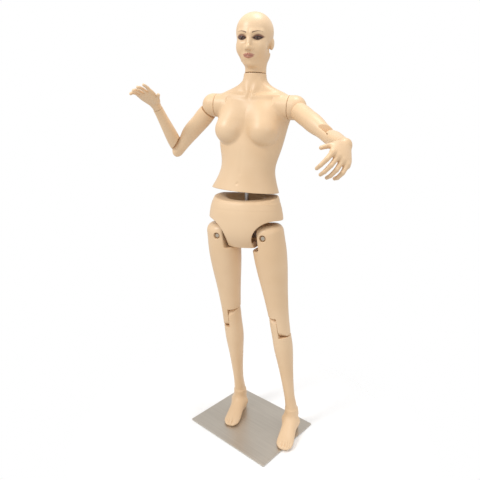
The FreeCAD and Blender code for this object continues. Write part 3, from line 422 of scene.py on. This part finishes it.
def pelvis_solid(x, y, z):
    """A brief-shaped shell, open at both legs, its top dished behind a low front lip."""
    body = join(tube(PELVIS, x, y, z), tube(RIM, x, y, z), RIM_FILLET)
    body = trim(body, z - LIP_TOP - LIP_DROP * np.minimum(y - LIP_BACK, 0), LIP_EDGE)
    body = carve(body, egg(*DISH, x, y, z), DISH_EDGE)
    out, back, height = BUTTOCK
    for sign in SIDES.values():
        buttock = egg((sign * out, back, height), BUTTOCK_SIZE, x, y, z)
        body = join(body, buttock, BUTTOCK_FILLET)
    body = carve(body, tube(PELVIS[:HOLLOW_STATIONS], x, y, z, inset=HOLLOW_WALL), HOLLOW_EDGE)
    for side, sign in SIDES.items():
        lean = math.radians(HIP_LEAN[side])
        across = x - sign * (HIP_SPACING / 2 + OPENING_OUT)
        up = z * math.cos(lean) - y * math.sin(lean) + OPENING_DROP
        body = carve(body, drum(LEG_OPENING, across, up), OPENING_EDGE)
    post_hole = np.maximum(drum(POST_RADIUS + POST_GAP, x, y - POST_SETBACK), -z)
    return carve(body, post_hole, BORE_EDGE)


SHOULDER_HEIGHT, ARMHOLE, CAP_RADIUS = 335, 152, 45
FLANGE_START, FLANGE_FILLET = 100, 8
BUST_ACROSS, BUST_FORWARD, BUST_HEIGHT, BUST = 70, 42, 241, (61, 61, 57)
BUST_FILLET, BUST_FILLET_GROWTH, BUST_FILLET_RUN = 9, 24, 70   # tight below, soft above
RIM_WALL, RIM_DEPTH, RIM_EDGE = 7, 30, 1.2
POST_ROOM, POST_END = 12.5, 46
HIP_SHOT, HIP_SHOT_TOP = 9, 160     # the lower rim's shift to the right, and where it starts


def torso_solid(x, y, z):
    """Torso and neck, open underneath, with flat round armholes."""
    x = x + HIP_SHOT * np.clip(1 - z / HIP_SHOT_TOP, 0, 1) ** 2
    side = np.abs(x)
    body = tube(TORSO, x, y, z)
    shoulder_blade = egg((76, 62, 300), (50, 40, 60), side, y, z)
    body = join(body, shoulder_blade, 26)
    bust = egg((BUST_ACROSS, -BUST_FORWARD, BUST_HEIGHT), BUST, side, y, z)
    upper_bust = egg((BUST_ACROSS - 8, -BUST_FORWARD + 16, BUST_HEIGHT + 48), (50, 50, 50), side, y, z)
    rise = np.clip((z - BUST_HEIGHT + 25) / BUST_FILLET_RUN, 0, 1)
    body = join(body, join(bust, upper_bust, 34), BUST_FILLET + BUST_FILLET_GROWTH * rise)
    collar_bone = stick((14, -42, 366), (112, -22, 374), 3.0, 4.0, side, y, z)
    body = join(body, collar_bone, 20)
    throat = egg((0, -50, 378), (9, 8, 9), x, y, z)
    body = carve(body, throat, 10)
    neck_cord = stick((9, -36, 378), (34, 2, 450), 3.5, 3.0, side, y, z)
    body = join(body, neck_cord, 20)
    midline = stick((0, -89, 80), (0, -88, 170), 3, 3, x, y, z)
    body = carve(body, midline, 14)
    navel = egg((-4, -89, 38), (4.5, 5.5, 5), x, y, z)
    body = carve(body, navel, 5)
    spine = stick((0, 90, 50), (0, 104, 300), 8, 6, x, y, z)
    body = carve(body, spine, 22)
    flange = np.maximum(drum(CAP_RADIUS, y, z - SHOULDER_HEIGHT), side - ARMHOLE)
    body = join(body, np.maximum(flange, FLANGE_START - side), FLANGE_FILLET)
    outside = np.maximum(ARMHOLE - side, -z)
    body = carve(body, outside, EDGE)
    opening = np.maximum(tube(TORSO, x, y, z, inset=RIM_WALL), z - RIM_DEPTH)
    post_room = np.maximum(drum(POST_ROOM, x, y), z - POST_END)
    body = carve(body, join(opening, post_room), EDGE)
    return trim(trim(body, TORSO[0][0] - z, RIM_EDGE), z - TORSO[-1][0], EDGE)


# ---- head -----------------------------------------------------------------------------------

NECK_SEAM = 1                       # height of the head's flat bottom
NOD, NOD_CENTRE = math.radians(9.0), 105
LEAN, LEAN_TOP = 12, 40             # the head's shift to its right, full from this height up


def nodded(x, y, z):
    """The points in the head's own frame; it looks a little down and sits off to its right."""
    up = z - NOD_CENTRE
    face_up = NOD_CENTRE + up * math.cos(NOD) - y * math.sin(NOD)
    back = y * math.cos(NOD) + up * math.sin(NOD)
    return x + LEAN * np.clip(z / LEAN_TOP, 0, 1), back, face_up


def head_solid(x, y, z):
    """A bald head with a full face, the neck seam flat at the bottom."""
    neck = tube(NECK_STUB, x, y, z)
    bottom = NECK_SEAM - z
    x, y, z = nodded(x, y, z)
    side = np.abs(x)
    skull = egg((0, 10, 144), (69, 82, 69), x, y, z)
    forehead = egg((0, -12, 149), (64, 62, 59), x, y, z)
    skull = join(skull, forehead, 16)
    face = egg((0, -25, 100), (54, 57, 66), x, y, z)
    head = join(skull, face, 22)
    jaw = stick((40, 2, 66), (15, -52, 42), 16, 15, side, y, z)
    head = join(head, jaw, 22)
    head = join(head, neck, 18)
    chin = egg((0, -65, 40), (18, 14, 14), x, y, z)
    head = join(head, chin, 12)
    cheek = egg((31, -52, 90), (22, 22, 24), side, y, z)
    head = join(head, cheek, 26)
    brow = stick((8, -73, 140), (40, -58, 141), 8, 7, side, y, z)
    head = join(head, brow, 12)
    socket = egg((29, -84, 124), (18, 15, 11), side, y, z)
    head = carve(head, socket, 10)
    lids = egg((28, -60, 123), (16, 15.5, 11), side, y, z)
    head = join(head, lids, 2.5)
    slit = stick((16, -79, 121), (40, -68, 123), 1.2, 0.8, side, y, z)
    head = carve(head, slit, 1.5)
    bridge = stick((0, -74, 132), (0, -93, 94), 6, 7, x, y, z)
    tip = egg((0, -95, 90), (8.5, 8.5, 7.5), x, y, z)
    wing = egg((8.5, -86, 87), (6, 8, 6), side, y, z)
    nose = join(join(bridge, tip, 8), wing, 7)
    head = join(head, nose, 12)
    nostril = egg((5.5, -92, 81.5), (3.2, 4.5, 3), side, y, z)
    head = carve(head, nostril, 2)
    muzzle = egg((0, -66, 64), (27, 20, 20), x, y, z)
    head = join(head, muzzle, 12)
    upper_lip = stick((3.5, -86, 68.5), (22, -76, 65.5), 4.2, 1.6, side, y, z)
    lower_lip = stick((0, -85, 60), (18, -77, 63.5), 5.2, 1.6, side, y, z)
    lips = join(upper_lip, lower_lip, 1.0)
    head = join(head, lips, 3)
    bow = egg((0, -92, 73), (2.2, 5, 4), x, y, z)
    head = carve(head, bow, 3)
    nape = egg((0, 22, 92), (49, 56, 52), x, y, z)
    head = join(head, nape, 20)
    ear = egg((63, 17, 108), (10, 14, 22), side, y, z)
    ear = carve(ear, egg((77, 14, 110), (6, 7, 13), side, y, z), 3)
    head = join(head, ear, 3)
    return trim(head, bottom, EDGE)


# ---- arms and hands -------------------------------------------------------------------------

CAP_ANGLE, CAP_SEAM, CAP_INNER = 43.5, 36, 19
ARM_LENGTH, ELBOW_DEPTH = 265, 29   # the depth is half the arm's at the elbow, with a margin
BICEPS, BICEPS_SIZE, BICEPS_FILLET = (0, -8, -150), (29, 30, 62), 14
WRIST_STUB, WRIST_RADIUS, HAND_BEND = 20, 19, 28
WRIST_EDGE, PALM_FILLET, THUMB_FILLET = 0.8, 6, 8
FINGER_SHARES = (0.90, 1.0, 0.95, 0.78)   # length of each finger, from the index finger
FINGER_SPACING, FINGER_DROP, FINGER_SPREAD = 17, 78, 4.5
CURL = {"right": 12, "left": 50}    # degrees; each finger curls CURL_GROWTH more than the last
CURL_GROWTH = 4
FINGER, FINGER_ROOT, FINGER_TIP = 76, 7.8, 5.1      # length of the longest, and two radii
THUMB_ROOT, THUMB_SPREAD, THUMB_CURL, THUMB_SHARE, THUMB_GIRTH = (20, 4, -24), 46, 14, 0.80, 1.15
BONES = (0.45, 0.31, 0.24)          # shares of a digit's length


def cap_solid(side):
    """A domed cap: flat against the torso, and cut slanting towards the upper arm."""
    sign = SIDES[side]
    lean = math.radians(CAP_ANGLE)

    def solid(x, y, z):
        ball = np.sqrt(x * x + y * y + z * z) - CAP_RADIUS
        round_part = np.where(sign * x > 0, ball, drum(CAP_RADIUS, y, z))
        along_arm = -sign * x * math.sin(lean) + z * math.cos(lean)
        body = trim(round_part, -CAP_SEAM - along_arm, EDGE)
        return trim(body, -sign * x - CAP_INNER, EDGE)
    return solid


def upper_arm_solid(side):
    sign = SIDES[side]

    def solid(x, y, z):
        body = tube(UPPER_ARM, x, y, z, cap=EDGE)
        body = join(body, egg(BICEPS, BICEPS_SIZE, x, y, z), BICEPS_FILLET)
        cut = lap_cut("elbow", -sign, 1, -1, ELBOW_DEPTH, x, y, z + ARM_LENGTH)
        return carve(body, cut, EDGE)
    return solid


def forearm_solid(side):
    sign = SIDES[side]

    def solid(x, y, z):
        body = tube(FOREARM, x, y, z, cap=EDGE)
        return carve(body, lap_cut("elbow", sign, -1, -1, ELBOW_DEPTH, x, y, z), EDGE)
    return solid


def digit(root, spread, curl, length, girth, x, y, z):
    """Three tapering bones hanging from root, spread sideways and curling to the palm."""
    start = Vector(root)
    body = None
    radius = FINGER_ROOT * girth
    for i, bone in enumerate(BONES):
        bend = math.radians(curl * (0.5 + 0.75 * i))
        out = math.sin(math.radians(spread))
        along = Vector((out * math.cos(bend), math.sin(bend), -math.cos(bend)))
        end = start + along.normalized() * length * bone
        end_radius = radius - (FINGER_ROOT - FINGER_TIP) * girth * bone
        part = stick(start, end, radius, end_radius, x, y, z)
        body = part if body is None else join(body, part, 1.5)
        start, radius = end, end_radius
    nail_centre = start - along.normalized() * 1.0 + Vector((0, -radius * 0.62, 0))
    nail = egg(nail_centre, (radius * 0.66, radius * 0.5, radius * 1.15), x, y, z)
    return join(body, nail, 0.6)


def hand_solid(side):
    """Bent at the wrist, palm towards +y, thumb on the inner side, fingers a little spread."""
    sign = SIDES[side]
    bend = math.radians(HAND_BEND)

    def solid(x, y, z):
        stub = np.maximum(drum(WRIST_RADIUS, x, y), np.maximum(z, -z - WRIST_STUB))
        lower = z + WRIST_STUB
        depth = y * math.cos(bend) + lower * math.sin(bend)
        drop = lower * math.cos(bend) - y * math.sin(bend)
        ball = np.sqrt(x * x + y * y + lower * lower) - WRIST_RADIUS
        palm = tube(PALM, x, depth, drop, cap=8)
        palm = join(palm, egg((-sign * 20, 6, -34), (14, 12, 24), x, depth, drop), 10)
        fingers = None
        for i, share in enumerate(FINGER_SHARES):
            rank = i - 1.5
            root = (sign * rank * FINGER_SPACING, 0, -FINGER_DROP)
            curl = CURL[side] + CURL_GROWTH * i
            finger = digit(root, sign * rank * FINGER_SPREAD, curl, share * FINGER, 1.0, x, depth, drop)
            fingers = finger if fingers is None else join(fingers, finger, 1.2)
        inward, back, up = THUMB_ROOT
        thumb = digit((-sign * inward, back, up), -sign * THUMB_SPREAD, THUMB_CURL,
                      THUMB_SHARE * FINGER, THUMB_GIRTH, x, depth, drop)
        body = join(join(stub, ball, 3), palm, PALM_FILLET)
        body = join(body, fingers, PALM_FILLET)
        body = join(body, thumb, THUMB_FILLET)
        return trim(body, z, WRIST_EDGE)
    return solid


# ---- materials ------------------------------------------------------------------------------

class Shader:
    """A small helper that adds nodes to one material and links them."""

    def __init__(self, name):
        self.material = bpy.data.materials.new(name)
        self.material.use_nodes = True
        self.tree = self.material.node_tree
        self.surface = self.tree.nodes["Principled BSDF"]
        self.place = self.add("ShaderNodeTexCoord").outputs["Object"]

    def add(self, kind, inputs=(), **settings):
        node = self.tree.nodes.new(kind)
        for key, value in settings.items():
            setattr(node, key, value)
        for key, value in dict(inputs).items():
            self.put(node.inputs[key], value)
        return node

    def put(self, socket, value):
        if isinstance(value, bpy.types.NodeSocket):
            self.tree.links.new(value, socket)
        else:
            socket.default_value = value

    def set(self, **values):
        for key, value in values.items():
            self.put(self.surface.inputs[key.replace("_", " ")], value)

    def noise(self, scale, detail=3.0, stretch=(1, 1, 1), roughness=0.5):
        mapped = self.add("ShaderNodeMapping", {"Vector": self.place, "Scale": stretch})
        noise = self.add("ShaderNodeTexNoise", {"Vector": mapped.outputs[0], "Scale": scale,
                                                "Detail": detail, "Roughness": roughness})
        return noise.outputs["Fac"]

    def between(self, share, low, high, low_share=0.0, high_share=1.0):
        """A number that goes from low to high as share goes from low_share to high_share."""
        node = self.add("ShaderNodeMapRange", {"Value": share, "From Min": low_share, "From Max": high_share,
                                               "To Min": low, "To Max": high})
        return node.outputs[0]

    def mix(self, share, first, second):
        node = self.add("ShaderNodeMix", data_type="RGBA")
        self.put(node.inputs["Factor"], share)
        self.put(node.inputs[6], first)
        self.put(node.inputs[7], second)
        return node.outputs[2]

    def bump(self, height, strength, distance):
        node = self.add("ShaderNodeBump", {"Height": height, "Strength": strength, "Distance": distance})
        self.put(self.surface.inputs["Normal"], node.outputs[0])


def colour(red, green, blue):
    return (red, green, blue, 1.0)


SKIN_LIGHT, SKIN_DEEP = colour(0.775, 0.56, 0.355), colour(0.72, 0.50, 0.30)
SCUFF = colour(0.62, 0.47, 0.33)


def skin_plastic(name, gloss, painted=False):
    """Satin moulded plastic: faint tone drift, an orange-peel grain and sparse scuffs."""
    shader = Shader(name)
    drift = shader.noise(5.0, 2.0)
    base = shader.mix(shader.between(drift, 0, 1, 0.35, 0.65), SKIN_DEEP, SKIN_LIGHT)
    scuffs = shader.between(shader.noise(38, 6, (1, 1, 0.35), 0.7), 0.0, 0.35, 0.66, 0.76)
    base = shader.mix(scuffs, base, SCUFF)
    rough = shader.between(shader.noise(22, 4), gloss - 0.05, gloss + 0.07, 0.3, 0.7)
    if painted:
        paint = shader.add("ShaderNodeAttribute", attribute_name="paint")
        base = shader.mix(paint.outputs["Alpha"], base, paint.outputs["Color"])
    shader.set(Base_Color=base, Roughness=rough, IOR=1.46)
    shader.bump(shader.noise(420, 2), 0.10, 0.0006)
    return shader.material


def brushed_plate():
    """Stainless sheet, brushed along its long side, with a few fine scratches and smears."""
    shader = Shader("brushed_plate")
    lines = shader.noise(260, 3, (0.02, 1, 1), 0.6)
    smears = shader.noise(7, 3)
    tone = shader.mix(lines, colour(0.50, 0.45, 0.385), colour(0.66, 0.60, 0.52))
    tone = shader.mix(shader.between(smears, 0, 0.25, 0.45, 0.7), tone, colour(0.72, 0.67, 0.60))
    scratches = shader.between(shader.noise(60, 5, (0.15, 1, 1), 0.8), 0, 0.6, 0.7, 0.74)
    tone = shader.mix(scratches, tone, colour(0.80, 0.77, 0.72))
    rough = shader.between(smears, 0.30, 0.42, 0.3, 0.7)
    shader.set(Base_Color=tone, Metallic=0.85, Roughness=rough)
    shader.bump(lines, 0.12, 0.0004)
    return shader.material


def turned_steel(name, tone, rough):
    """Zinc-plated steel fittings with blotchy plating."""
    shader = Shader(name)
    blotch = shader.noise(120, 4)
    dark = colour(*(0.72 * part for part in tone))
    shader.set(Base_Color=shader.mix(blotch, dark, colour(*tone)), Metallic=1.0,
               Roughness=shader.between(blotch, rough - 0.06, rough + 0.08, 0.3, 0.7))
    shader.bump(shader.noise(500, 2, (1, 1, 0.2)), 0.1, 0.0003)
    return shader.material


def moulded(name, tone, rough):
    """Plain moulded plastic or rubber with a dusty grain."""
    shader = Shader(name)
    grain = shader.noise(90, 4)
    pale = colour(*(min(1, 1.25 * part + 0.01) for part in tone))
    shader.set(Base_Color=shader.mix(shader.between(grain, 0, 1, 0.4, 0.7), colour(*tone), pale),
               Roughness=shader.between(grain, rough - 0.05, rough + 0.1, 0.3, 0.7))
    shader.bump(grain, 0.15, 0.0004)
    return shader.material


def chip_board():
    """Pressed wood: pale flecks in brown."""
    shader = Shader("board_wood")
    flecks = shader.noise(140, 5, (1, 0.5, 1), 0.7)
    shader.set(Base_Color=shader.mix(shader.between(flecks, 0, 1, 0.35, 0.65), colour(0.20, 0.13, 0.075),
                                     colour(0.42, 0.30, 0.18)), Roughness=0.8)
    shader.bump(flecks, 0.4, 0.0008)
    return shader.material


SATIN = skin_plastic("skin_plastic", 0.40)
FACE = skin_plastic("skin_face", 0.36, painted=True)
PLATE = brushed_plate()
STEEL = turned_steel("fitting_steel", (0.56, 0.56, 0.57), 0.34)
CHROME = turned_steel("bolt_chrome", (0.66, 0.58, 0.47), 0.24)
NYLON = moulded("bush_plastic", (0.62, 0.60, 0.55), 0.5)
RUBBER = moulded("pad_rubber", (0.02, 0.02, 0.02), 0.7)
BOARD = chip_board()


# ---- painted face ---------------------------------------------------------------------------

LIP_PAINT, BROW_PAINT = (0.44, 0.18, 0.13), (0.115, 0.05, 0.025)
SHADOW_PAINT, LASH_PAINT = (0.12, 0.026, 0.018), (0.016, 0.006, 0.004)
EYE_WHITE, IRIS_PAINT = (0.16, 0.09, 0.065), (0.04, 0.016, 0.008)
EYE, IRIS_RADIUS = (30, 122.5), 3.6     # across and up
BROW_START, BROW_RUN, BROW_HEIGHT, BROW_ARCH, BROW_WIDTH = 10, 38, 139.5, 5.5, 2.0
MOUTH_HEIGHT = 64.2
FRONT = -45                             # only points ahead of this are painted


def fade(distance, soft=0.7):
    """1 inside a shape, 0 outside, fading over soft millimetres."""
    return np.clip(0.5 - distance / soft, 0, 1)


def almond(side, z, centre, half_wide, half_high, tilt):
    """Roughly the distance to a flat almond in the xz plane."""
    across, up = side - centre[0], z - centre[1] - tilt * (side - centre[0])
    lid = half_high * (1 - np.clip(np.abs(across) / half_wide, 0, 1) ** 2)
    return np.maximum(np.abs(up) - lid, np.abs(across) - half_wide)


def face_layers(points):
    """The painted shapes from the bottom coat to the top, each a share and a colour."""
    x, y, z = nodded(*points.T)
    side, front = np.abs(x), y < FRONT
    lid_shadow = almond(side, z, (EYE[0] + 1, EYE[1] + 2.5), 21, 10, 0.06)
    lash = almond(side, z, EYE, 17.5, 6.4, 0.05)
    white = almond(side, z, (EYE[0], EYE[1] - 0.6), 13, 2.9, 0.05)
    iris = np.hypot(side - EYE[0], z - EYE[1] + 0.4) - IRIS_RADIUS
    outward = np.clip((side - BROW_START) / BROW_RUN, 0, 1)
    arch = BROW_HEIGHT + BROW_ARCH * np.sin(outward * math.pi * 0.82)
    brow = np.maximum(np.abs(z - arch) - BROW_WIDTH * (1.15 - outward), np.abs(side - 29) - 18)
    upper = almond(side, z, (0, 66.5), 23.5, 6.2, 0)
    lower = almond(side, z, (0, 61.5), 20, 6.4, 0)
    lips = join(upper, lower)
    mouth_line = np.maximum(np.abs(z - MOUTH_HEIGHT) - 0.5, side - 20)
    layers = ((0.9 * fade(lid_shadow, 5), SHADOW_PAINT), (fade(lash), LASH_PAINT),
              (fade(white), EYE_WHITE), (fade(np.maximum(iris, white)), IRIS_PAINT),
              (0.9 * fade(brow, 1.2), BROW_PAINT), (0.92 * fade(lips, 1.4), LIP_PAINT),
              (0.6 * fade(mouth_line), LASH_PAINT))
    return [(share * front, paint) for share, paint in layers]


def paint_face(piece, points):
    """Store the painted face on the head's corners: colour, and how much it covers."""
    tone = np.zeros((len(points), 3))
    cover = np.zeros(len(points))
    for share, paint in face_layers(points):
        total = share + cover * (1 - share)
        weight = np.divide(share, total, out=np.zeros_like(share), where=total > 0)[:, None]
        tone = tone * (1 - weight) + np.array(paint) * weight
        cover = total
    layer = piece.data.color_attributes.new("paint", "FLOAT_COLOR", "POINT")
    layer.data.foreach_set("color", np.column_stack([tone, cover]).astype(np.float32).ravel())


# ---- pieces ---------------------------------------------------------------------------------

# Two opposite corners of the box each kind of piece is meshed in, and its step.
BOXES = {
    "thigh": ((-76, -80, -452), (76, 80, 46), 2.2),
    "shin": ((-130, -240, -520), (130, 110, 50), 2.2),
    "pelvis": ((-168, -118, -72), (168, 124, 170), 2.4),
    "torso": ((-170, -122, 2), (170, 122, 460), 2.6),
    "head": ((-78, -112, -2), (78, 104, 226), 1.5),
    "cap": ((-48, -48, -48), (48, 48, 48), 1.5),
    "upper_arm": ((-42, -44, -296), (42, 44, -34), 1.6),
    "forearm": ((-34, -34, -208), (34, 34, 31), 1.5),
    "hand": ((-74, -36, -190), (74, 160, 3), 1.3),
}


def build_legs():
    for side in SIDES:
        meshed(f"thigh_shell_{side}", thigh_solid(side), BOXES["thigh"],
               thigh_place(side), f"thigh_{side}", SATIN, f"thigh_{side}")
        meshed(f"shin_shell_{side}", shin_solid(side), BOXES["shin"],
               shin_place(side), f"lower_leg_{side}", SATIN, f"shin_foot_{side}")


def build_trunk():
    meshed("pelvis_skin", pelvis_solid, BOXES["pelvis"],
           pelvis_place(), "pelvis", SATIN, "pelvis_shell")
    meshed("torso_skin", torso_solid, BOXES["torso"],
           torso_place(), "torso", SATIN, "torso_shell")
    head, points = meshed("head_skin", head_solid, BOXES["head"],
                          head_place(), "head", FACE, "head_shell")
    paint_face(head, points)


def build_arms():
    for side in SIDES:
        meshed(f"cap_skin_{side}", cap_solid(side), BOXES["cap"],
               cap_place(side), f"shoulder_cap_{side}", SATIN, f"shoulder_cap_{side}")
        meshed(f"upper_arm_skin_{side}", upper_arm_solid(side), BOXES["upper_arm"],
               arm_place(side), f"upper_arm_{side}", SATIN, f"upper_arm_{side}")
        meshed(f"forearm_skin_{side}", forearm_solid(side), BOXES["forearm"],
               forearm_place(side), f"forearm_{side}", SATIN, f"forearm_{side}")
        meshed(f"hand_skin_{side}", hand_solid(side), BOXES["hand"],
               hand_place(side), f"hand_{side}", SATIN, f"hand_{side}")


def dress_fittings():
    """Give every CAD part that stays in view its finish."""
    finishes = {"brushed_plate": PLATE, "fitting_steel": STEEL, "bush_plastic": NYLON,
                "board_wood": BOARD, "pad_rubber": RUBBER, "skin_plastic": SATIN}
    for row in frame["record"]["subparts"]:
        node = frame["nodes"][row["node"]]
        bright = row["node"].startswith("hip_bolt")
        node.data.materials.clear()
        node.data.materials.append(CHROME if bright else finishes[row["material_slot"]])


# ---- stage ----------------------------------------------------------------------------------

CAMERA_PLACE, CAMERA_AHEAD = Vector((1.071, -1.246, 1.210)), Vector((-0.6616, 0.7224, -0.2011))
LENS, SENSOR_WIDTH = 29.6, 36.0     # millimetres
SURROUND = 0.74                     # strength of the white round the object; the camera sees 1
FLOOR_RADIUS, FLOOR_SIDES = 1.5, 64
FLOOR_FADE, FLOOR_GONE = 0.3, 0.8   # metres from the origin, where the floor starts to fade and ends
LIGHT_AIM = Vector((0, 0, 0.9))


def floor():
    """A pale paper floor that fades out into the white surround."""
    mesh = bpy.data.meshes.new("floor")
    edge = [(FLOOR_RADIUS * math.cos(turn), FLOOR_RADIUS * math.sin(turn), 0)
            for turn in np.linspace(0, 2 * math.pi, FLOOR_SIDES, endpoint=False)]
    mesh.from_pydata(edge, [], [tuple(range(len(edge)))])
    plane = bpy.data.objects.new("floor", mesh)
    bpy.context.scene.collection.objects.link(plane)
    shader = Shader("floor_paper")
    shader.set(Base_Color=colour(0.95, 0.95, 0.95), Roughness=0.95)
    away = shader.add("ShaderNodeVectorMath", {0: shader.place}, operation="LENGTH").outputs["Value"]
    clear = shader.add("ShaderNodeBsdfTransparent").outputs[0]
    share = shader.between(away, 0, 1, FLOOR_FADE, FLOOR_GONE)
    blend = shader.add("ShaderNodeMixShader", {0: share, 1: shader.surface.outputs[0], 2: clear})
    output = shader.tree.nodes["Material Output"]
    shader.tree.links.new(blend.outputs[0], output.inputs["Surface"])
    mesh.materials.append(shader.material)


def area_light(name, spot, size, power):
    data = bpy.data.lights.new(name, "AREA")
    data.shape, data.size, data.energy = "DISK", size, power
    light = bpy.data.objects.new(name, data)
    light.location = spot
    light.rotation_euler = (LIGHT_AIM - light.location).to_track_quat("-Z", "Y").to_euler()
    bpy.context.scene.collection.objects.link(light)


def studio():
    """White all round for the camera, a softer white for the object, and three soft lights."""
    world = bpy.data.worlds.new("studio")
    world.use_nodes = True
    tree = world.node_tree
    background = tree.nodes["Background"]
    background.inputs["Color"].default_value = colour(1, 1, 1)
    seen = tree.nodes.new("ShaderNodeLightPath").outputs["Is Camera Ray"]
    strength = tree.nodes.new("ShaderNodeMapRange")
    tree.links.new(seen, strength.inputs["Value"])
    strength.inputs["To Min"].default_value = SURROUND
    strength.inputs["To Max"].default_value = 1.0
    tree.links.new(strength.outputs[0], background.inputs["Strength"])
    bpy.context.scene.world = world
    area_light("key", Vector((-0.9, -3.0, 3.6)), 1.4, 70)
    area_light("fill", Vector((2.8, -1.2, 2.2)), 1.8, 14)
    area_light("top", Vector((0.4, 0.2, 3.8)), 1.0, 30)
    bpy.context.scene.view_settings.view_transform = "Standard"


def camera():
    data = bpy.data.cameras.new("camera")
    data.sensor_width, data.lens = SENSOR_WIDTH, LENS
    view = bpy.data.objects.new("camera", data)
    view.location = CAMERA_PLACE
    view.rotation_euler = CAMERA_AHEAD.to_track_quat("-Z", "Y").to_euler()
    bpy.context.scene.collection.objects.link(view)
    bpy.context.scene.camera = view


build_legs()
build_trunk()
build_arms()
dress_fittings()
floor()
studio()
camera()
